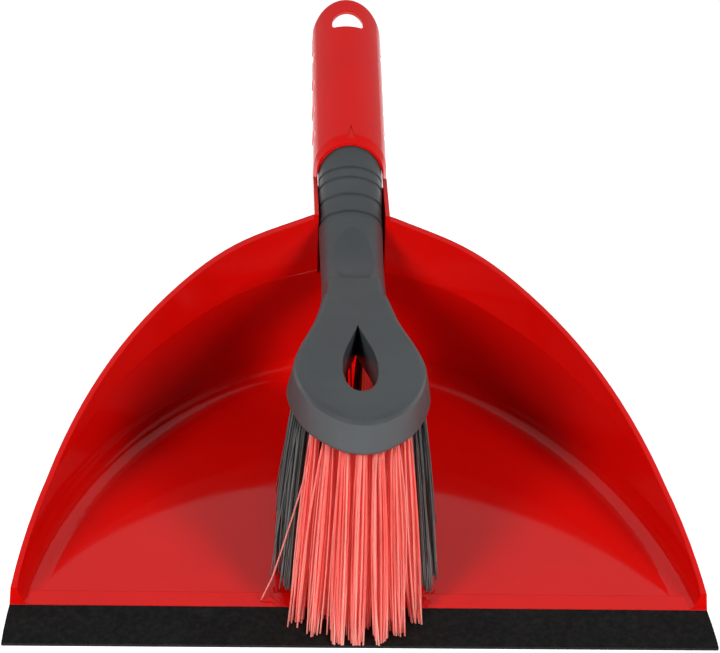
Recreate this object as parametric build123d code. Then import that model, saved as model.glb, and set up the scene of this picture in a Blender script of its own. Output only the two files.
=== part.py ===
from build123d import *
import os
from math import cos, hypot, radians, sin, tan

# Dustpan with a rubber lip and a hand brush stored in the pan's hollow handle.
# Millimetres, +Z up. Worked out with Y = 0 at the front edge of the lip and +Y towards the
# handle; every part is moved back by half the overall length before it is written.

# ---- pan bowl ----
OVERALL_LENGTH = 358.1
TUBE_END = 360.9             # end of the tube at its axis
LIP_HALF_WIDTH = 150.0      # at the front edge, on the ground
BOWL_DEPTH = 211.2          # front edge to the back of the bowl, on the ground
OUTLINE_POWER = 1.85        # 2 would be an ellipse
SIDE_DRAFT = tan(radians(0.5))
BACK_DRAFT = tan(radians(0.6))
WALL = 2.4
FLOOR_TOP = 3.2
FLOOR_FILLET = 10.0
BLOCK_TOP = 110.0
FAR = 260.0                 # beyond the back of the bowl
RIM_FRONT = (24.0, 10.4)    # (Y, Z) where the rim starts to climb
RIM_SLOPE = 21.0
BAND_SLOPE = 15.1           # lower edge of the rim band, which leans out over the wall
BAND_LEAN_BACK = tan(radians(22.0))
BAND_LEAN_SIDE = tan(radians(13.0))
BAND_FOOT_BACK = 61.6       # height where the band's surface meets the wall, at the back
BAND_FOOT_SIDE = 22.5       # and half way along the sides

# ---- front edge ----
LIP_DEPTH = 20.6
LIP_FRONT_Z = 1.4
LIP_BACK_Z = 4.2
STRIP_BACK = 29.0           # bright bevel between the lip and the floor
STRIP_BACK_Z = 5.0
STRIP_FALL = 1.6            # run over which the strip drops to the floor
TONGUE_HALF_WIDTH = 146.0
TONGUE_FRONT = 10.0
TONGUE_Z = (0.8, 2.0)

# ---- pan handle: its axis climbs towards the back ----
TUBE_SLOPE = 20.5
TUBE_POINT = (258.5, 94.2)  # (Y, Z) of a point on the axis
TUBE_HALF_WIDTH = 18.8
TUBE_CROWN = 16.0           # axis to the top of the outside
TUBE_WALL = 2.2
TUBE_SKIRT = 9.0            # how far the sides hang below the axis
TUBE_END_ROUND = 3.0
SKIRT_RISE = (302.0, 12.5)  # from this Y the lower edge climbs to this far above the axis
TUBE_END_EASE = 0.1         # the round end is this much wider than the sides, so not tangent
HOOD_START = 236.0          # the closed part of the tube is cut back from here to the mouth
MOUTH_FOOT = (250.0, 91.0)
MOUTH_CROWN = (254.6, 108.0)
MOUTH_BEVEL = (1.7, 4.6)    # across the wall, along the tube
TROUGH_TOP = (218.0, 86.6)  # upper edge of the open part at the bowl
TROUGH_WEB = 15.2           # axis to the inside of the bottom web
TROUGH_START = 200.0
WEB_END = 257.5             # the bottom web ends here, so that the brush can tip
TROUGH_END = 277.0          # the deep sides run on under the closed part
NOTCH_END = 300.0
FLARE = 5.0                 # the trough's sides spread by this much where they meet the rim
FLARE_SPAN = (205.0, 220.0)
FLARE_TOP_Y = 216.0         # behind this station the flare's top is level
FLARE_BOTTOM = 62.0
SCALLOPS = (275.2, 292.0, 309.7, 329.2)
SCALLOP_RADIUS = 9.0
SCALLOP_DEPTH = 1.1
HANG_HOLE_Y = 343.0
HANG_HOLE_RADIUS = 8.2
HANG_HOLE_STRAIGHT = 3.6    # depth of the D below its half round
HANG_HOLE_CORNER = 1.5
DIMPLE_Y = 261.0            # arrow-shaped dimple on the crown behind the mouth
DIMPLE_SIZE = (5.2, 11.0, 0.6)

# ---- brush ----
GRIP_HALF_WIDTH = 16.25
GRIP_HALF_HEIGHT = 13.2
HEAD_BOTTOM = 68.0
HEAD_NOSE = 42.7            # front of the head
HEAD_WIDEST = (31.6, 87.0)  # half width and its station
HEAD_FRONT = ((13.8, 48.2), (22.2, 57.0), (28.4, 69.8))     # (half width, Y) of the nose
HEAD_SIDE = ((30.0, 98.5), (25.4, 114.0), (20.5, 131.5), (17.0, 148.0), (15.6, 162.0))
HEAD_LEVELS = ((68.0, 0.6), (69.0, 0.0), (81.6, 2.4), (83.3, 3.3), (84.2, 5.2))     # (Z, inset)
HEAD_CHAMFER = ((146.0, 84.3), (166.0, 79.5))   # the top slopes down under the neck
NECK_SECTIONS = (           # (Y, Z, half width, half height, tilt)
    (138, 75.6, 17.0, 7.6, 0), (154, 75.0, 15.6, 8.6, 0), (172, 74.4, 15.2, 10.0, 4),
    (188, 74.2, 15.4, 11.6, 12), (204, 75.6, 15.7, 12.8, 18))
GRIP_STATIONS = ((216.0, 0.4), (248.0, 0.0), (262.0, 0.0), (306.0, 1.4))    # (Y, how much slimmer)
DROP_FRONT, DROP_WIDE, DROP_TIP = 67.0, 82.5, 120.0     # teardrop opening
DROP_HALF_WIDTH = 7.7
GRIP_RINGS = (219.2, 229.8, 240.3, 246.5)
RING_DEPTH = 0.8
RING_WIDTH = 0.9
RING_BEVEL = (0.45, 1.0)    # depth and width of the step on the head's side of each groove
THUMB_CENTRE = (181.0, 93.6)    # (Y, Z) of the ellipsoid that sinks the thumb recess
THUMB_RADII = (21.0, 27.0, 12.5)
THUMB_TILT = 7.0

# ---- tufts ----
TUFT_ROOT_RADIUS = 2.35
TUFT_TIP_RADIUS = 4.1
TIP_GAP = 0.7               # tips to the pan
TUFT_HOLE_RADIUS = 2.5
TUFT_HOLE_DEPTH = 9.0
TUFT_SINK = 8.4             # how far a tuft reaches up into its hole
TUFT_COLLAR = 1.1           # the tuft starts to spread this far below the head
ANCHOR = (4.2, 1.6, 0.4)
ANCHOR_SEAT = -0.33         # along the stem, so that the anchor sits on top of the tuft
OUTER_SPLAY, INNER_SPLAY, REAR_SPLAY = 6.0, 4.2, -1.1   # how far the side tufts lean outwards
BRUSH_YAW = 0.75            # the stored brush lies this far off the pan's centre line
ROW_CENTRE_Y, TIP_CENTRE_Y = 87.0, 44.8     # centres of the rows' root and tip arcs
FRONT_ROW = (26.6, 39.0, 34.2, 38.3)    # semi-axes of the roots' arc and of the tips' arc
SECOND_ROW = (19.6, 31.6, 25.0, 28.4)
THIRD_ROW = (12.2, 25.2, 16.6, 17.6)
FRONT_TURN, SECOND_TURN, THIRD_TURN = (15.5, 6), (22.0, 4), (37.0, 3)   # degrees, tufts in half
FRONT_CORAL_ANGLE = 50.0        # coral up to this angle either side of straight ahead
COLUMN_PITCH = 9.0
OUTER_COLUMN = (88.0, 8, 5.2)   # first Y, tufts, distance in from the side of the head
INNER_COLUMN = (90.0, 7, 12.5)
OUTER_FAN = 0.6                 # tips of the outer column narrow by this much less than its roots
REAR_Y = (120.0, 140.0)         # inner tufts from here on hang straight; coral up to the second
TIP_STATIONS = ((88.0, 53.0), (105.0, 77.5), (125.0, 104.0), (152.0, 138.0))    # (root Y, tip Y)


def tube_plane(y):
    """Plane across the tube at station y: local x along X, local y up, normal towards the tip."""
    z = TUBE_POINT[1] + (y - TUBE_POINT[0]) * tan(radians(TUBE_SLOPE))
    a = radians(TUBE_SLOPE)
    return Plane(origin=(0, y, z), x_dir=(-1, 0, 0), z_dir=(0, cos(a), sin(a)))


def axis_z(y):
    """Height of the tube's axis at station y."""
    return tube_plane(y).origin.Z


def side_prism(points, half_width=220.0):
    """Solid with a side profile of (Y, Z) points, extruded across X."""
    return extrude(Plane.YZ * make_face(Polyline(*points, close=True)), half_width, both=True)


def bowl_outline(z, inset, banded, front):
    """Closed plan outline of the bowl at height z: straight front, superellipse behind."""
    half = LIP_HALF_WIDTH + z * SIDE_DRAFT - inset
    depth = BOWL_DEPTH + z * BACK_DRAFT - inset
    if banded:
        half += (z - BAND_FOOT_SIDE) * BAND_LEAN_SIDE
        depth += (z - BAND_FOOT_BACK) * BAND_LEAN_BACK
    right = []
    for turn in (0, 10, 20, 32, 45, 58, 70, 80, 90):
        t = radians(turn)
        right.append((half * cos(t) ** (2 / OUTLINE_POWER), depth * sin(t) ** (2 / OUTLINE_POWER)))
    left = [(-x, y) for x, y in right]
    lines = [Spline(*right, tangents=[(0, 1), (-1, 0)]), Spline(*left, tangents=[(0, 1), (1, 0)])]
    if front < 0:
        lines += [Line(left[0], (-half, front)), Line((-half, front), (half, front)),
                  Line((half, front), right[0])]
    else:
        lines += [Line(left[0], right[0])]
    return Plane.XY.offset(z) * make_face(lines)


def bowl_block(inset, banded, bottom, front=0.0):
    """Solid inside the wall, or inside the rim band if banded, from bottom up past the rim."""
    return loft([bowl_outline(bottom, inset, banded, front),
                 bowl_outline(BLOCK_TOP, inset, banded, front)])


def rising(start, slope, drop=0.0):
    """Z on a straight line that climbs at slope from start, as a function of Y."""
    return lambda y: start[1] - drop + (y - start[0]) * tan(radians(slope))


# ---------------------------------------------------------------- bowl
rim = rising(RIM_FRONT, RIM_SLOPE)
band = rising(RIM_FRONT, BAND_SLOPE)
band_outside = rising(RIM_FRONT, BAND_SLOPE, WALL)
under_rim = [(LIP_DEPTH, 0), (LIP_DEPTH, LIP_BACK_Z), RIM_FRONT, (FAR, rim(FAR)), (FAR, 0)]
band_slab = [(RIM_FRONT[0], band_outside(RIM_FRONT[0])), RIM_FRONT, (FAR, rim(FAR)),
             (FAR, band_outside(FAR))]
over_band = [(-20, BLOCK_TOP + 1), (-20, band(-20)), (FAR, band(FAR)), (FAR, BLOCK_TOP + 1)]
front_ridge = [(-20, -1), (-20, LIP_FRONT_Z), (0, LIP_FRONT_Z), (LIP_DEPTH, LIP_BACK_Z),
               (STRIP_BACK, STRIP_BACK_Z), (STRIP_BACK + STRIP_FALL, FLOOR_TOP),
               (STRIP_BACK + STRIP_FALL, -1)]

outer_block = bowl_block(0, False, 0)
band_block = bowl_block(0, True, 0)
bowl = (outer_block & side_prism(under_rim)) + (band_block & side_prism(band_slab))

hollow = bowl_block(WALL, False, FLOOR_TOP, front=-15.0)
corner = [e for e in hollow.edges()
          if abs(e.bounding_box().max.Z - FLOOR_TOP) < 0.01 and e.bounding_box().max.Y > 100]
hollow = fillet(corner, FLOOR_FILLET)
hollow = hollow - side_prism(front_ridge)
band_hollow = bowl_block(WALL, True, 0, front=-15.0) & side_prism(over_band)
bowl = bowl - hollow - band_hollow


def tongue(back):
    """Flat tongue of the pan that the lip is moulded around, from its front edge to back."""
    low, high = TONGUE_Z
    middle = Pos(0, (TONGUE_FRONT + back) / 2, (low + high) / 2)
    return middle * Box(2 * TONGUE_HALF_WIDTH, back - TONGUE_FRONT, high - low)


lip_profile = [(0, 0), (0, LIP_FRONT_Z), (LIP_DEPTH, LIP_BACK_Z), (LIP_DEPTH, 0)]
rubber_lip = (outer_block & side_prism(lip_profile)) - tongue(LIP_DEPTH)


# ---------------------------------------------------------------- pan handle
def arch(half_width, crown, skirt):
    """Inverted U: half an ellipse on top of straight sides."""
    top = EllipticalCenterArc((0, 0), half_width, crown, start_angle=0, arc_size=180)
    sides = Polyline((-half_width, 0), (-half_width, -skirt), (half_width, -skirt), (half_width, 0))
    return make_face([top, sides])


def along(y0, y1):
    """Distance along the tube between two stations."""
    return (y1 - y0) / cos(radians(TUBE_SLOPE))


def crown_plane(y, height=0.0):
    """Plane square to the tube's crown at station y: local x along X, local y towards the tip."""
    across = tube_plane(y)
    return Plane(origin=across.origin + across.y_dir * height, x_dir=(1, 0, 0), z_dir=across.y_dir)


def plan_prism(half_width, y_start, end_y):
    """Straight strip with a semicircular end, seen square to the tube's axis, as a solid."""
    length = along(y_start, end_y) - half_width
    outline = [Polyline((-half_width, length), (-half_width, 0), (half_width, 0), (half_width, length)),
               ThreePointArc((half_width, length), (0, length + half_width), (-half_width, length))]
    return extrude(crown_plane(y_start) * make_face(outline), 60, both=True)


hood_length = along(HOOD_START, OVERALL_LENGTH + 20)
outer = extrude(tube_plane(HOOD_START) * arch(TUBE_HALF_WIDTH, TUBE_CROWN, TUBE_SKIRT), hood_length)
outer = outer & plan_prism(TUBE_HALF_WIDTH + TUBE_END_EASE, HOOD_START - 5, TUBE_END)
end_edge = [e for e in outer.edges().filter_by(GeomType.BSPLINE) if e.center().Y > 300]
outer = fillet(end_edge, TUBE_END_ROUND)
inner_arch = arch(TUBE_HALF_WIDTH - TUBE_WALL, TUBE_CROWN - TUBE_WALL, TUBE_SKIRT + 5)
inner = extrude(tube_plane(HOOD_START - 2) * inner_arch, hood_length)
inner = inner & plan_prism(TUBE_HALF_WIDTH - TUBE_WALL, HOOD_START - 8, TUBE_END - TUBE_WALL)

# mouth: cut by a nearly upright plane, the edge bevelled outwards
mouth_rise = (MOUTH_CROWN[1] - MOUTH_FOOT[1]) / (MOUTH_CROWN[0] - MOUTH_FOOT[0])
mouth_low = (MOUTH_FOOT[0] - (MOUTH_FOOT[1] - 60) / mouth_rise, 60)
mouth_high = (MOUTH_CROWN[0] + (130 - MOUTH_CROWN[1]) / mouth_rise, 130)
outer = outer - side_prism([(200, 60), mouth_low, mouth_high, (200, 130)])
mouth_face = outer.faces().filter_by(GeomType.PLANE).sort_by(Axis.Y)[0]
mouth_edge = mouth_face.edges().sort_by(Axis.Z)[-1]
outer = chamfer(mouth_edge, *MOUTH_BEVEL, reference=mouth_face)

# shorter skirt at the end, scallops for the fingers along both edges, and the hanging hole
rise_y, end_rise = SKIRT_RISE
far_end = TUBE_END + 10
outer = outer - side_prism([(rise_y, axis_z(rise_y) - TUBE_SKIRT / cos(radians(TUBE_SLOPE))),
                            (far_end, axis_z(far_end) + end_rise), (far_end, 60), (rise_y, 60)])
scallops = []
for y in SCALLOPS:
    for side in (1, -1):
        offset = side * (TUBE_HALF_WIDTH + SCALLOP_RADIUS - SCALLOP_DEPTH)
        cut = crown_plane(y) * Pos(offset, 0) * Circle(SCALLOP_RADIUS)
        scallops.append(extrude(cut, 24, both=True))
outer = outer - scallops
half_round = Circle(HANG_HOLE_RADIUS) & Pos(0, HANG_HOLE_RADIUS) * Rectangle(
    2 * HANG_HOLE_RADIUS, 2 * HANG_HOLE_RADIUS)
hole = Pos(0, -HANG_HOLE_STRAIGHT / 2) * Rectangle(2 * HANG_HOLE_RADIUS, HANG_HOLE_STRAIGHT)
hole = fillet(hole.vertices().sort_by(Axis.Y)[:2], HANG_HOLE_CORNER) + half_round
outer = outer - extrude(crown_plane(HANG_HOLE_Y) * hole, 40)
dimple_width, dimple_length, dimple_depth = DIMPLE_SIZE
dimple = make_face(Polyline((-dimple_width / 2, 0), (dimple_width / 2, 0), (0, dimple_length),
                            close=True))
outer = outer - extrude(crown_plane(DIMPLE_Y, TUBE_CROWN - dimple_depth) * dimple, 5)
hood = outer - inner


# open trough between the bowl and the hood, flared where it meets the rim
def trough_section(half_width, web):
    return make_face(Polyline((-half_width, 40), (-half_width, -web), (half_width, -web),
                              (half_width, 40), close=True))


trough = extrude(tube_plane(TROUGH_START) * trough_section(TUBE_HALF_WIDTH, TROUGH_WEB + TUBE_WALL),
                 along(TROUGH_START, NOTCH_END))
top_slope = (MOUTH_FOOT[1] - TROUGH_TOP[1]) / (MOUTH_FOOT[0] - TROUGH_TOP[0])
start_top = TROUGH_TOP[1] + (TROUGH_START - TROUGH_TOP[0]) * top_slope
foot_y, foot_z = MOUTH_FOOT
skirt_z = TUBE_SKIRT / cos(radians(TUBE_SLOPE)) - 0.1
trough = trough & side_prism([
    (TROUGH_START, 40), (TROUGH_START, start_top), (foot_y + 0.8, foot_z + top_slope),
    (foot_y + 4, axis_z(foot_y + 4) - skirt_z), (TROUGH_END, axis_z(TROUGH_END) - skirt_z),
    (TROUGH_END - 10, 60), (TROUGH_END - 10, 40)])
trough = trough - scallops

flare_from, flare_to = FLARE_SPAN
wide = TUBE_HALF_WIDTH + FLARE + 1
flare = make_face([
    Polyline((TUBE_HALF_WIDTH, flare_to), (0, flare_to), (0, flare_from), (wide, flare_from),
             (wide, flare_from + 6.5)),
    ThreePointArc((wide, flare_from + 6.5), (TUBE_HALF_WIDTH + 1.6, flare_from + 9.6),
                  (TUBE_HALF_WIDTH, flare_to))])
flare = extrude(Plane.XY.offset(FLARE_BOTTOM) * flare, 60)
flare = (flare + mirror(flare, Plane.YZ)) & side_prism([
    (TROUGH_START, FLARE_BOTTOM), (TROUGH_START, rim(TROUGH_START)), (FLARE_TOP_Y, rim(FLARE_TOP_Y)),
    (flare_to + 5, rim(FLARE_TOP_Y)), (flare_to + 5, FLARE_BOTTOM + 8)])

notch = extrude(tube_plane(190) * trough_section(TUBE_HALF_WIDTH - TUBE_WALL, TROUGH_WEB),
                along(190, 300))
notch = notch & side_prism([(190, 20), (190, 130), (NOTCH_END, 130), (NOTCH_END, 20)])
web_gap = extrude(tube_plane(WEB_END) * trough_section(TUBE_HALF_WIDTH - TUBE_WALL, 40),
                  along(WEB_END, NOTCH_END))
handle = (trough + flare) - (hollow + band_hollow)
dustpan = (bowl + handle) - notch - web_gap + tongue(LIP_DEPTH + 1) + hood


# ---------------------------------------------------------------- brush body
def head_outline(z, inset):
    """Closed plan outline of the head: shield-shaped nose and sides that narrow to the neck."""
    half, widest = HEAD_WIDEST
    nose = (0, HEAD_NOSE + inset)
    front = [(x * (1 - inset / half), y + inset * (widest - y) / (widest - HEAD_NOSE))
             for x, y in HEAD_FRONT]
    side = front + [(half - inset, widest)] + [(x - inset, y) for x, y in HEAD_SIDE]
    right = Spline(nose, *side, tangents=[(1, 0), (-0.05, 1)])
    left = Spline(nose, *[(-x, y) for x, y in side], tangents=[(-1, 0), (0.05, 1)])
    back = Line(side[-1], (-side[-1][0], side[-1][1]))
    return Plane.XY.offset(z) * make_face([right, left, back])


def grip_section(y, z, half_width, half_height, tilt):
    """Ellipse across the brush's neck or grip at (Y, Z), leaning back by tilt degrees."""
    a = radians(tilt)
    plane = Plane(origin=(0, y, z), x_dir=(-1, 0, 0), z_dir=(0, cos(a), sin(a)))
    return plane * Ellipse(half_width, half_height)


def slimmer(y):
    """How much slimmer than nominal the grip is at station y."""
    for (a, less_a), (b, less_b) in zip(GRIP_STATIONS, GRIP_STATIONS[1:]):
        if y <= b:
            return less_a + (less_b - less_a) * (y - a) / (b - a)


head = loft([head_outline(z, inset) for z, inset in HEAD_LEVELS], ruled=True)
(chamfer_y, chamfer_z), (chamfer_end_y, chamfer_end_z) = HEAD_CHAMFER
head = head - side_prism([(chamfer_y, chamfer_z), (chamfer_end_y, chamfer_end_z),
                          (chamfer_end_y, 95), (chamfer_y, 95)])
w, h = GRIP_HALF_WIDTH, GRIP_HALF_HEIGHT
grip = loft([grip_section(*section) for section in NECK_SECTIONS]
            + [grip_section(y, axis_z(y), w - less, h - less, TUBE_SLOPE)
               for y, less in GRIP_STATIONS[:1]])
grip += loft([grip_section(y, axis_z(y), w - less, h - less, TUBE_SLOPE)
              for y, less in GRIP_STATIONS], ruled=True)
for y in GRIP_RINGS:
    around = Ellipse(w + 3, h + 3)
    deep, shallow = slimmer(y) + RING_DEPTH, slimmer(y) + RING_BEVEL[0]
    ring = tube_plane(y) * (around - Ellipse(w - deep, h - deep))
    step = tube_plane(y) * (around - Ellipse(w - shallow, h - shallow))
    grip = grip - extrude(ring, RING_WIDTH / 2, both=True)
    grip = grip - extrude(step, -RING_BEVEL[1] - RING_WIDTH / 2)
thumb = scale(Sphere(1), THUMB_RADII)
grip = grip - Pos(0, *THUMB_CENTRE) * Rot(THUMB_TILT, 0, 0) * thumb
drop = make_face([
    Spline((0, DROP_FRONT), (side * DROP_HALF_WIDTH, DROP_WIDE), (0, DROP_TIP),
           tangents=[(side, 0), (-side * 0.22, 1)], tangent_scalars=[1.0, 1.0]) for side in (1, -1)])
body = head + grip - extrude(Plane.XY.offset(60) * drop, 40)


# ---------------------------------------------------------------- tufts
def head_half_width(y):
    """Half width of the head at station y, straight between its outline points."""
    points = [HEAD_WIDEST] + list(HEAD_SIDE)
    for (xa, ya), (xb, yb) in zip(points, points[1:]):
        if ya <= y <= yb:
            return xa + (xb - xa) * (y - ya) / (yb - ya)
    return points[-1][0]


def tip_y(y):
    """Station of the tip of a column tuft rooted at station y."""
    for (a, tip_a), (b, tip_b) in zip(TIP_STATIONS, TIP_STATIONS[1:]):
        if y <= b:
            return tip_a + (tip_b - tip_a) * (y - a) / (b - a)


def arc_tufts(row, turn, first):
    """Tufts (root x, root y, tip x, tip y, is_coral) on an arc, mirrored left and right."""
    root_x, root_y, tip_x, tip_y = row
    step, each_side = turn
    found = []
    for k in range(each_side):
        angle = first + k * step
        for sign in ((1, -1) if angle else (1,)):
            a = radians(sign * angle)
            found.append((root_x * sin(a), ROW_CENTRE_Y - root_y * cos(a),
                          tip_x * sin(a), TIP_CENTRE_Y - tip_y * cos(a),
                          angle <= FRONT_CORAL_ANGLE))
    return found


def column_tufts(column, inner):
    """Tufts (root x, root y, tip x, tip y, is_coral) in a row along each side of the head."""
    first, count, inset = column
    front_x = head_half_width(first) - inset
    found = []
    for k in range(count):
        y = first + k * COLUMN_PITCH
        x = head_half_width(y) - inset
        is_rear = inner and y >= REAR_Y[0]
        if inner:
            splay = REAR_SPLAY if is_rear else INNER_SPLAY
        else:
            splay = OUTER_SPLAY + OUTER_FAN * (front_x - x)
        for sign in (1, -1):
            found.append((sign * x, y, sign * (x + splay), tip_y(y), is_rear and y < REAR_Y[1]))
    return found


roots = arc_tufts(FRONT_ROW, FRONT_TURN, 0)
roots += arc_tufts(SECOND_ROW, SECOND_TURN, SECOND_TURN[0] / 2)
roots += arc_tufts(THIRD_ROW, THIRD_TURN, 0)
roots += column_tufts(OUTER_COLUMN, False)
roots += column_tufts(INNER_COLUMN, True)


def surface_under(y):
    """Height of the pan under a tuft tip: the strip's ridge in front, the floor behind it."""
    return STRIP_BACK_Z if y < STRIP_BACK + 7 else FLOOR_TOP


tufts, anchors, bores = [], [], []
for x, y, tx, ty, is_coral in roots:
    lean = hypot(tx - x, ty - y) / hypot(tx - x, ty - y, HEAD_BOTTOM)
    root = Vector(x, y, HEAD_BOTTOM)
    tip = Vector(tx, ty, surface_under(ty) + TIP_GAP + TUFT_TIP_RADIUS * lean)
    down = (tip - root).normalized()
    top = root - down * TUFT_SINK
    stem = Plane(origin=top, z_dir=down)
    straight = TUFT_SINK + TUFT_COLLAR
    tuft = loft([stem * Circle(TUFT_ROOT_RADIUS), stem.offset(straight) * Circle(TUFT_ROOT_RADIUS),
                 stem.offset((tip - top).length) * Circle(TUFT_TIP_RADIUS)], ruled=True)
    tufts.append((tuft, is_coral))
    bore = Plane(origin=root - down * TUFT_HOLE_DEPTH, z_dir=down)
    bores.append(extrude(bore * Circle(TUFT_HOLE_RADIUS), TUFT_HOLE_DEPTH + 6))
    anchors.append(stem.offset(ANCHOR_SEAT) * Box(*ANCHOR))
body = body - bores

# ---------------------------------------------------------------- written parts
shift = Pos(0, -OVERALL_LENGTH / 2, 0)
turn = Pos(0, MOUTH_CROWN[0], 0) * Rot(0, 0, -BRUSH_YAW) * Pos(0, -MOUTH_CROWN[0], 0)
os.makedirs("parts", exist_ok=True)


def write(shape, name):
    export_step(shift * shape, f"parts/{name}.step")


write(dustpan, "dustpan")
write(rubber_lip, "rubber_lip")
write(turn * body, "brush_body")
write(turn * Compound(anchors), "tuft_anchors")
count = {True: 0, False: 0}
for tuft, is_coral in tufts:
    count[is_coral] += 1
    write(turn * tuft, f"{'coral' if is_coral else 'black'}_tuft_{count[is_coral]:02d}")
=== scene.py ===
import math
import random

import bpy
import numpy as np
from mathutils import Matrix, Vector


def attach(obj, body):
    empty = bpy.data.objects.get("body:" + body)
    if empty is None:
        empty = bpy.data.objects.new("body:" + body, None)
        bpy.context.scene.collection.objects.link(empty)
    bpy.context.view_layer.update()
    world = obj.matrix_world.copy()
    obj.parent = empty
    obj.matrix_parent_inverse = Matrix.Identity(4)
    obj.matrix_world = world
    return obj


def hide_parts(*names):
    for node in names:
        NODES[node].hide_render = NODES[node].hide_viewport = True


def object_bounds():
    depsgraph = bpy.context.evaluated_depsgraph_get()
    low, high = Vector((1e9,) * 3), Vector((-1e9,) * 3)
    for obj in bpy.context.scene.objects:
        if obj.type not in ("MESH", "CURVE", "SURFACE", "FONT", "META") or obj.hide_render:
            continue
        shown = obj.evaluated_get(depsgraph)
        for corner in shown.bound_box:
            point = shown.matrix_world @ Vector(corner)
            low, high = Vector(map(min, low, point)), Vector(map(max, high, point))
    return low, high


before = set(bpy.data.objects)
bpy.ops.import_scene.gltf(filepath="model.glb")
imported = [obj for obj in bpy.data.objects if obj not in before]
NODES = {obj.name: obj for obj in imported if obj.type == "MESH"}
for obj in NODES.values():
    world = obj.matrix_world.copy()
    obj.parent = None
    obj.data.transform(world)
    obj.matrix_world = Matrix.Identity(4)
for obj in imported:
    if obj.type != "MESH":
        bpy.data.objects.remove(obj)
cad_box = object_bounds()

# A dustpan with a rubber lip, and a hand brush stored in its handle. Metres, +Z up, +Y towards
# the handle. The hard pieces are the CAD's own nodes, each with a material. Each CAD tuft of
# bristles is replaced by a bundle of separate strands.

# ---- strands, by the colour of their tuft ----
STRANDS = {"coral": 30, "black": 26}    # in a tuft
STRAND_RADIUS = {"coral": 0.00050, "black": 0.00042}
STRAND_RINGS = 7                        # stations along a strand
STRAND_SIDES = 5
TIP_TAPER = 0.75                        # tip radius over root radius

# ---- how the strands fill their tuft ----
ROOT_FILL = 0.80                # part of the tuft's root circle that they take up
TIP_FILL = {"coral": 0.66, "black": 0.76}
ROOT_INSIDE = 0.004             # how far below the root circle they start, inside the head
TURN_STEP = 2.39996             # golden angle from each strand to the next, in radians
TURN_JITTER = 0.25
LOOSE = 0.0008                  # sideways wander of a strand's tip
LEAN = 0.0016                   # sideways wander of a whole tuft's tip
UNEVEN = {"coral": 0.0110, "black": 0.0050}     # how much the ends differ in length
UNEVEN_POWER = 1.6              # above 1, fewer strands are much shorter
BOW = 0.0010                    # bow of a strand, in a direction that turns with it
BOW_TURN = 1.1                  # that direction, in radians from the way outwards
BULGE = 0.0011                  # outward bow of the outermost strands
STRAY_SHARE = 0.03              # share of the strands that leave their tuft
STRAY_FROM = 0.6                # only strands beyond this part of the radius do
STRAY_REACH = 0.006
STRAY_LEAST = 0.3               # shortest stray's part of that reach
WILD = {                        # tufts with one strand that ends this far from the tuft's tip
    "coral_tuft_07": (-0.0150, 0.0115, 0.0015),
    "black_tuft_13": (0.0060, 0.0030, 0.0040),
    "black_tuft_15": (0.0075, -0.0020, 0.0070),
    "black_tuft_16": (-0.0050, 0.0020, 0.0030)}
TONE_BY_STRAND, PAINTED_SHADE_BY_LENGTH = 0.75, 0.25     # what a strand's colour depends on: its random tone, and painted shade that darkens it towards the root
END_RING = 0.0022               # CAD vertices this near a tuft's end belong to its circle

# ---- the pan's front edge, which the front strands lie over ----
LIP_Y = cad_box[0][1]
EDGE_PROFILE = ((0.0, 0.0014), (0.0206, 0.0042), (0.0290, 0.0050), (0.0306, 0.0032))    # (Y, Z)
CLEAR = 0.0003                  # lowest a strand runs above the pan
LIP_MARGIN = 0.0006             # no strand passes the lip's front edge by more
FRONT_Y, FRONT_REACH = 0.034, 0.0125    # coral tufts this near the edge are this much longer
PULL_Y, PULL = 0.050, 0.94      # black tufts this near the edge lean in by this factor

# ---- materials ----
NOISE_LOW, NOISE_HIGH = 0.3, 0.7        # the values that most of a noise lies between
BEVEL_SAMPLES = 6
SOAK = (0.004, 0.0012, 0.0010)          # how far red, green and blue soak into a strand

# ---- floor, lights and world ----
FLOOR_SIDE = 6.0
FLOOR_GAP = 0.0002              # how far the floor lies below the pan
OVERHEAD_PLACE, OVERHEAD_SIZE, OVERHEAD_POWER = (0.0, -0.20, 1.45), (0.7, 0.5), 1.8
SIDE_PLACE, SIDE_SIZE = (0.95, -0.85, 0.85), (0.4, 0.5)
SIDE_POWER, SIDE_GLOSS_POWER = 13.0, 3.8
SIDE_AIM_Z = 0.05
SKY_FROM_Y, SKY_TO_Y = -0.3, 0.5        # the sky brightens from front to back between these
SKY_FRONT, SKY_BACK = 0.03, 0.46

# ---- view ----
CAMERA_AZIMUTH, CAMERA_ELEVATION, CAMERA_ROLL = -4.64, 31.9, 3.58
CAMERA_DISTANCE = 0.8209
CAMERA_TARGET = (0.00171, -0.02905, 0.0645)
CAMERA_CLIP = 0.01
LENS_MM, SENSOR_MM = 87.23, 36.0


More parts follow.
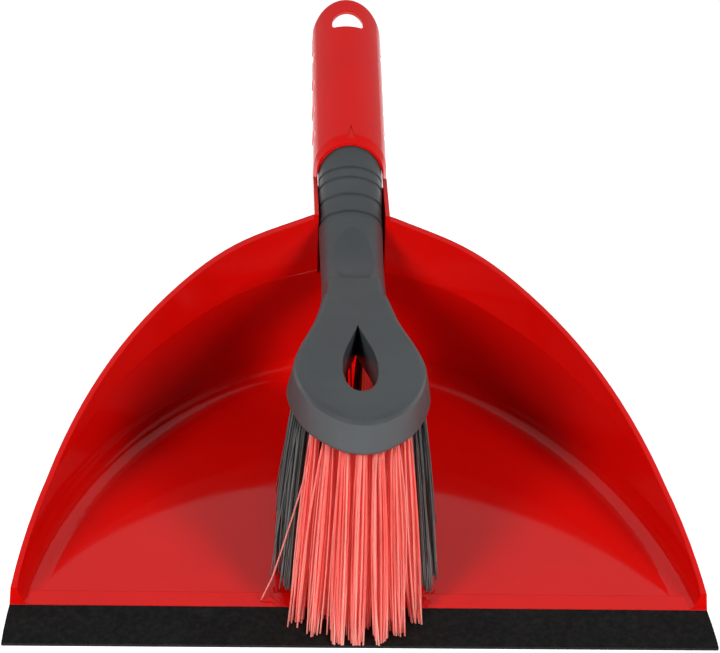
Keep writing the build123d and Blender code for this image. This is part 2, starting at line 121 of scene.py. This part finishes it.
# ================================================================ materials
class Shader:
    """One material: its Principled shader and the nodes that feed it."""

    def __init__(self, name, **settings):
        self.material = bpy.data.materials.new(name)
        self.material.use_nodes = True
        self.tree = self.material.node_tree
        self.bsdf = self.tree.nodes["Principled BSDF"]
        self.fill(self.bsdf, settings)

    @staticmethod
    def fill(node, values):
        """Sets unlinked inputs; an underscore stands for a space in an input's name."""
        for key, value in values.items():
            node.inputs[key.replace("_", " ")].default_value = value

    def node(self, kind, properties=(), **inputs):
        made = self.tree.nodes.new(kind)
        for key, value in dict(properties).items():
            setattr(made, key, value)
        self.fill(made, inputs)
        return made

    def link(self, source, output, target, socket):
        self.tree.links.new(source.outputs[output], target.inputs[socket])

    def noise(self, scale, detail=4.0, roughness=0.5, stretch=None):
        """Noise in the object's own coordinates; stretch scales those by axis."""
        source, output = self.node("ShaderNodeTexCoord"), "Object"
        if stretch is not None:
            mapping = self.node("ShaderNodeMapping", Scale=stretch)
            self.link(source, output, mapping, "Vector")
            source, output = mapping, "Vector"
        noise = self.node("ShaderNodeTexNoise", Scale=scale, Detail=detail, Roughness=roughness)
        self.link(source, output, noise, "Vector")
        return noise

    def ramp(self, source, *stops):
        """A colour from the source's value, by two stops of (value, colour)."""
        ramp = self.node("ShaderNodeValToRGB")
        for element, (at, colour) in zip(ramp.color_ramp.elements, stops):
            element.position = at
            element.color = (*colour, 1.0)
        self.link(source, "Fac", ramp, "Fac")
        return ramp

    def spread(self, source, low, high):
        """The source's value stretched to run from low to high."""
        reach = self.node("ShaderNodeMapRange", From_Min=NOISE_LOW, From_Max=NOISE_HIGH,
                          To_Min=low, To_Max=high)
        self.link(source, "Fac", reach, "Value")
        return reach

    def tint(self, source, *stops):
        self.link(self.ramp(source, *stops), "Color", self.bsdf, "Base Color")

    def roughen(self, source, low, high):
        self.link(self.spread(source, low, high), "Result", self.bsdf, "Roughness")

    def bumps(self, *layers, edge=None):
        """Bump from layers of (noise, strength, height); edge is the radius of rounded edges."""
        before = None
        if edge is not None:
            before = self.node("ShaderNodeBevel", {"samples": BEVEL_SAMPLES}, Radius=edge)
        for source, strength, height in layers:
            bump = self.node("ShaderNodeBump", Strength=strength, Distance=height)
            self.link(source, "Fac", bump, "Height")
            if before is not None:
                self.link(before, "Normal", bump, "Normal")
            before = bump
        self.link(before, "Normal", self.bsdf, "Normal")


def red_plastic():
    s = Shader("red_plastic_look", IOR=1.5, Specular_IOR_Level=0.5)
    mottle = s.noise(scale=14.0, detail=3.0)
    s.tint(mottle, (0.3, (0.60, 0.0020, 0.0010)), (0.7, (0.67, 0.0028, 0.0014)))
    s.roughen(s.noise(scale=60.0, detail=6.0, roughness=0.62), 0.05, 0.11)
    orange_peel = s.noise(scale=900.0, detail=2.0)
    wave = s.noise(scale=38.0, detail=2.0)
    s.bumps((orange_peel, 0.04, 0.00004), (wave, 0.04, 0.0005), edge=0.0007)
    return s.material


def black_rubber():
    s = Shader("black_rubber_look", Specular_IOR_Level=0.2)
    dust = s.noise(scale=420.0, detail=5.0, roughness=0.7)
    s.tint(dust, (0.42, (0.004, 0.004, 0.004)), (0.9, (0.018, 0.018, 0.017)))
    s.roughen(s.noise(scale=95.0), 0.5, 0.72)
    grain = s.noise(scale=2600.0, detail=3.0)
    s.bumps((grain, 0.35, 0.00010), edge=0.0005)
    return s.material


def anthracite_plastic():
    s = Shader("anthracite_plastic_look", Specular_IOR_Level=0.5)
    mottle = s.noise(scale=30.0)
    s.tint(mottle, (0.3, (0.050, 0.057, 0.061)), (0.72, (0.064, 0.072, 0.076)))
    s.roughen(s.noise(scale=150.0, detail=5.0, roughness=0.6), 0.31, 0.42)
    spark = s.noise(scale=2400.0, detail=3.0)
    s.bumps((spark, 0.20, 0.00008), edge=0.0009)
    return s.material


def bristle(name, deep, pale, roughness, soak, painted_glow=0.0):
    """Drawn filament, from a deep colour to a pale one by strand and along each strand: the pale
    end is a painted highlight, and the darker root end of each strand is painted shade.

    soak is the share of light that soaks in; the last argument sets a painted glow in the deep
    colour, which stands in for light passed on inside the tuft."""
    # The emission is a painted glow: the strands glow in their deep colour though they are no
    # lamp.
    s = Shader(name, Roughness=roughness, Specular_IOR_Level=0.5,
               Subsurface_Weight=soak, Subsurface_Radius=SOAK, Subsurface_Scale=1.0,
               Emission_Color=(*deep, 1.0), Emission_Strength=painted_glow)
    strand = s.node("ShaderNodeAttribute", {"attribute_name": "strand"})
    # The pale end of this ramp is a painted highlight.
    tone = s.ramp(strand, (0.0, deep), (1.0, pale))
    streak = s.noise(scale=900.0, detail=2.0, stretch=(1.0, 0.12, 0.12))
    fleck = s.spread(streak, 0.86, 1.1)
    mix = s.node("ShaderNodeMix", {"data_type": "RGBA", "blend_type": "MULTIPLY"}, Factor=1.0)
    colour_a, colour_b, colour_out = 6, 7, 2        # the node's sockets for colours
    s.link(tone, "Color", mix, colour_a)
    s.link(fleck, "Result", mix, colour_b)
    s.link(mix, colour_out, s.bsdf, "Base Color")
    s.bumps((streak, 0.2, 0.00005))
    return s.material


def anchor_steel():
    s = Shader("anchor_steel_look", Metallic=1.0, Roughness=0.35)
    scratch = s.noise(scale=1800.0, detail=3.0, stretch=(1.0, 0.08, 1.0))
    s.tint(scratch, (0.3, (0.46, 0.46, 0.45)), (0.7, (0.62, 0.62, 0.60)))
    s.bumps((scratch, 0.2, 0.00005))
    return s.material


def pale_floor():
    s = Shader("pale_floor_look", Roughness=0.55, Specular_IOR_Level=0.2,
               Emission_Color=(1.0, 1.0, 1.0, 1.0), Emission_Strength=0.55)
    s.tint(s.noise(scale=3.0, detail=3.0), (0.3, (0.93, 0.93, 0.93)), (0.7, (0.95, 0.95, 0.95)))
    return s.material


def dress(obj, material):
    obj.data.materials.clear()
    obj.data.materials.append(material)


# ================================================================ bristles
def surface_z(y):
    """Height of the pan below a strand at station y."""
    ahead, height = zip(*EDGE_PROFILE)
    return float(np.interp(y - LIP_Y, ahead, height))


def tuft_ends(obj):
    """Root centre and radius and tip centre and radius of a tuft, from its CAD mesh."""
    points = np.array([v.co for v in obj.data.vertices])
    centre = points.mean(axis=0)
    axis = np.linalg.svd(points - centre, full_matrices=False)[2][0]
    if axis[2] > 0:
        axis = -axis
    along = (points - centre) @ axis
    found = []
    for at in (along.min(), along.max()):
        ring = points[np.abs(along - at) < END_RING]
        middle = (ring.min(axis=0) + ring.max(axis=0)) / 2
        offset = ring - middle
        offset -= np.outer(offset @ axis, axis)
        found += [Vector(middle), float(np.linalg.norm(offset, axis=1).max())]
    return found


def across(direction):
    """Two unit vectors square to a direction."""
    side = Vector((1, 0, 0)) - direction * direction.x
    side.normalize()
    return side, direction.cross(side)


def round_about(angle, side, up):
    """The direction at an angle round the circle that side and up span."""
    return math.cos(angle) * side + math.sin(angle) * up


class Strands:
    """The mesh of one tuft's strands, with a tone at each vertex that carries painted shade
    along each strand.
    """

    def __init__(self):
        self.vertices, self.faces, self.tones_and_painted_shade = [], [], []

    def add(self, start, end, bow, thickness, tone):
        """Adds a bowed, tapered strand of this radius at its root, clear of the pan."""
        base = len(self.vertices)
        u, v = across((end - start).normalized())
        for ring in range(STRAND_RINGS):
            t = ring / (STRAND_RINGS - 1)
            point = start.lerp(end, t) + bow * 4 * t * (1 - t)
            radius = thickness * (1 - (1 - TIP_TAPER) * t)
            point.y = max(point.y, LIP_Y - LIP_MARGIN)
            point.z = max(point.z, surface_z(point.y) + CLEAR + radius)
            for corner in range(STRAND_SIDES):
                angle = 2 * math.pi * corner / STRAND_SIDES
                self.vertices.append(point + round_about(angle, u, v) * radius)
                # painted shade: each strand darker at its root and paler towards its tip
                self.tones_and_painted_shade.append(tone * TONE_BY_STRAND + PAINTED_SHADE_BY_LENGTH * t)
        for ring in range(STRAND_RINGS - 1):
            for corner in range(STRAND_SIDES):
                a = base + ring * STRAND_SIDES + corner
                b = base + ring * STRAND_SIDES + (corner + 1) % STRAND_SIDES
                self.faces.append((a, b, b + STRAND_SIDES, a + STRAND_SIDES))
        last = base + (STRAND_RINGS - 1) * STRAND_SIDES
        self.faces.append(tuple(last + c for c in range(STRAND_SIDES)))
        self.faces.append(tuple(base + c for c in reversed(range(STRAND_SIDES))))

    def piece(self, name, material):
        mesh = bpy.data.meshes.new(name)
        mesh.from_pydata(self.vertices, [], self.faces)
        mesh.attributes.new("strand", "FLOAT", "POINT").data.foreach_set("value", self.tones_and_painted_shade)
        mesh.shade_smooth()
        mesh.update()
        mesh.materials.append(material)
        piece = bpy.data.objects.new(name, mesh)
        bpy.context.scene.collection.objects.link(piece)
        return piece


def bundle(name, cad_name, material, seed):
    """A tuft of separate strands where the CAD tuft stands."""
    rng = random.Random(seed)
    colour = cad_name.split("_")[0]
    root, root_radius, tip, tip_radius = tuft_ends(NODES[cad_name])
    aim = (tip - root).normalized()
    side, up = across(aim)
    if colour == "coral" and tip.y < LIP_Y + FRONT_Y:
        tip += aim * FRONT_REACH
    if colour == "black" and tip.y < LIP_Y + PULL_Y:
        tip.x *= PULL
    tip += side * rng.uniform(-LEAN, LEAN)
    strands, count = Strands(), STRANDS[colour]
    for k in range(count):
        spot = math.sqrt((k + 0.5) / count)
        turn = k * TURN_STEP + rng.uniform(-TURN_JITTER, TURN_JITTER)
        inner = round_about(turn, side, up) * spot
        stray = rng.random() < STRAY_SHARE and spot > STRAY_FROM
        loose = rng.uniform(-1, 1) * side * LOOSE + rng.uniform(-1, 1) * up * LOOSE
        start = root + aim * ROOT_INSIDE + inner * root_radius * ROOT_FILL
        end = tip + inner * tip_radius * TIP_FILL[colour] + loose
        if stray:
            end += inner.normalized() * rng.uniform(STRAY_LEAST, 1.0) * STRAY_REACH
        if k == count - 1 and cad_name in WILD:
            end = tip + Vector(WILD[cad_name])
        end -= aim * UNEVEN[colour] * rng.random() ** UNEVEN_POWER
        bow = round_about(turn + BOW_TURN, side, up) * rng.gauss(0, BOW) + inner * BULGE
        strands.add(start, end, bow, STRAND_RADIUS[colour], tone=rng.random())
    piece = strands.piece(name, material)
    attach(piece, "brush")
    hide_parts(cad_name)


dress(NODES["dustpan"], red_plastic())
dress(NODES["rubber_lip"], black_rubber())
dress(NODES["brush_body"], anthracite_plastic())
dress(NODES["tuft_anchors"], anchor_steel())

# The pale colours are painted highlights: grey streaks on the black bristles and a light pink on
# the coral ones.
LOOKS = {
    # The coral bristles get a painted glow of 0.10 in their deep colour.
    "coral": bristle("coral_bristle_look", deep=(0.90, 0.090, 0.075), pale=(1.0, 0.34, 0.29),
                     roughness=0.36, soak=0.5, painted_glow=0.10),
    "black": bristle("black_bristle_look", deep=(0.010, 0.011, 0.011), pale=(0.22, 0.22, 0.215),
                     roughness=0.30, soak=0.0)}
for index, node in enumerate(sorted(n for n in NODES if "_tuft_" in n)):
    colour = node.split("_")[0]
    bundle(node.replace("tuft", "bristles"), node, LOOKS[colour], index)

# ================================================================ floor, lights and camera
half = FLOOR_SIDE / 2
floor_mesh = bpy.data.meshes.new("floor")
floor_mesh.from_pydata([(-half, -half, 0), (half, -half, 0), (half, half, 0), (-half, half, 0)],
                       [], [(0, 1, 2, 3)])
floor_mesh.materials.append(pale_floor())
floor = bpy.data.objects.new("floor", floor_mesh)
bpy.context.scene.collection.objects.link(floor)
floor.location.z = -FLOOR_GAP


def area_light(name, power, size, place, look_at):
    data = bpy.data.lights.new(name, "AREA")
    data.shape = "RECTANGLE"
    data.size, data.size_y = size
    data.energy = power
    light = bpy.data.objects.new(name, data)
    light.location = place
    aim = Vector(look_at) - Vector(place)
    light.rotation_euler = aim.to_track_quat("-Z", "Y").to_euler()
    bpy.context.scene.collection.objects.link(light)
    return light


overhead = area_light("overhead_light", OVERHEAD_POWER, OVERHEAD_SIZE, OVERHEAD_PLACE, (0, 0, 0))
overhead.visible_glossy = False
for side in (1, -1):
    place, look_at = (side * SIDE_PLACE[0], *SIDE_PLACE[1:]), (0, 0, SIDE_AIM_Z)
    matt = area_light("side_light", SIDE_POWER, SIDE_SIZE, place, look_at)
    matt.visible_glossy = False
    gloss = area_light("side_gloss", SIDE_GLOSS_POWER, SIDE_SIZE, place, look_at)
    gloss.visible_diffuse = False

world = bpy.data.worlds.new("studio")
bpy.context.scene.world = world
world.use_nodes = True
sky = world.node_tree
direction = sky.nodes.new("ShaderNodeTexCoord")
split = sky.nodes.new("ShaderNodeSeparateXYZ")
brightness = sky.nodes.new("ShaderNodeMapRange")
Shader.fill(brightness, {"From Min": SKY_FROM_Y, "From Max": SKY_TO_Y,
                         "To Min": SKY_FRONT, "To Max": SKY_BACK})
sky.links.new(direction.outputs["Generated"], split.inputs["Vector"])
sky.links.new(split.outputs["Y"], brightness.inputs["Value"])
sky.links.new(brightness.outputs["Result"], sky.nodes["Background"].inputs["Color"])
bpy.context.scene.view_settings.view_transform = "Standard"

azimuth, elevation, roll = map(math.radians, (CAMERA_AZIMUTH, CAMERA_ELEVATION, CAMERA_ROLL))
back = Vector((math.sin(azimuth) * math.cos(elevation),
               -math.cos(azimuth) * math.cos(elevation),
               math.sin(elevation)))
right = Vector((math.cos(azimuth), math.sin(azimuth), 0))
upward = right.cross(-back)
rolled_right = right * math.cos(roll) + upward * math.sin(roll)
rolled_up = upward * math.cos(roll) - right * math.sin(roll)
camera_data = bpy.data.cameras.new("camera")
camera_data.lens, camera_data.sensor_width = LENS_MM, SENSOR_MM
camera_data.clip_start = CAMERA_CLIP
camera = bpy.data.objects.new("camera", camera_data)
bpy.context.scene.collection.objects.link(camera)
turned = Matrix((rolled_right, rolled_up, back)).transposed().to_4x4()
camera.matrix_world = Matrix.Translation(Vector(CAMERA_TARGET) + back * CAMERA_DISTANCE) @ turned
bpy.context.scene.camera = camera
